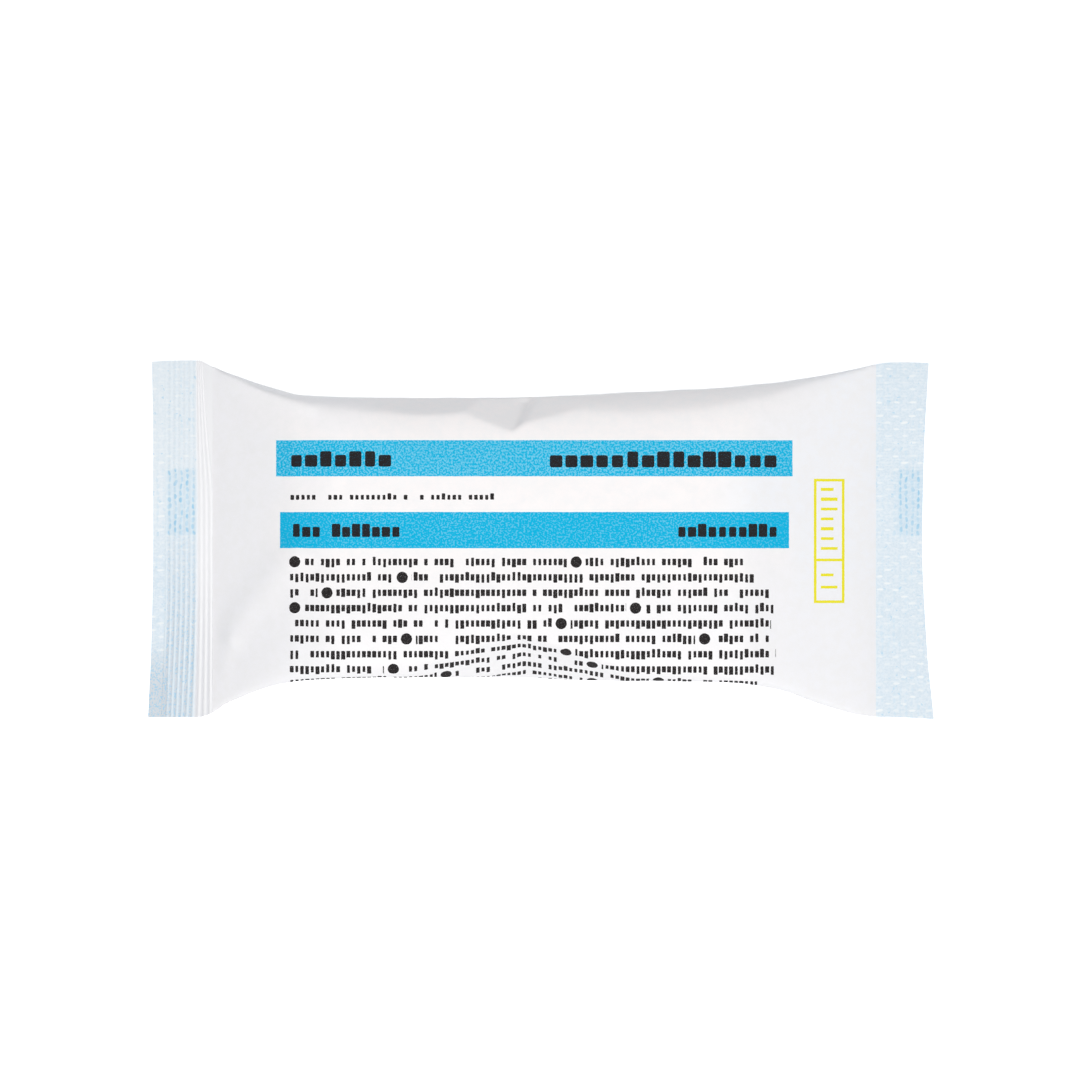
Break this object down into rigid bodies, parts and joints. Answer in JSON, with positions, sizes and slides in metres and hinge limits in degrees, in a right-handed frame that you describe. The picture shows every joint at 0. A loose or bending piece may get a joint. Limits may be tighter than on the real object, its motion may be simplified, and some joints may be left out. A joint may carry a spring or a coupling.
{
  "type": "sealed bandage packet",
  "caption": "Sealed paper packet holding a flattened bandage roll and a folded wound pad, with crimped end seals and a folded back seam.",
  "frame": {"origin": "on the resting plane, under the middle of the packet", "axes": "+X along the packet towards its plain seal, +Y across it, +Z out of its printed front"},
  "size_m": [0.168, 0.0766, 0.0218],
  "materials": {
    "satin_paper": "satin",
    "crimped_seal": "satin, crimped",
    "gauze": "matt, woven",
    "dressing": "soft, slightly silvery"
  },
  "bodies": {
    "root": {"paper_tube": "satin_paper", "back_seam": "satin_paper", "left_end_seal": "crimped_seal", "right_end_seal": "crimped_seal", "bandage_roll": "gauze", "wound_pad": "dressing"}
  },
  "joints": []
}
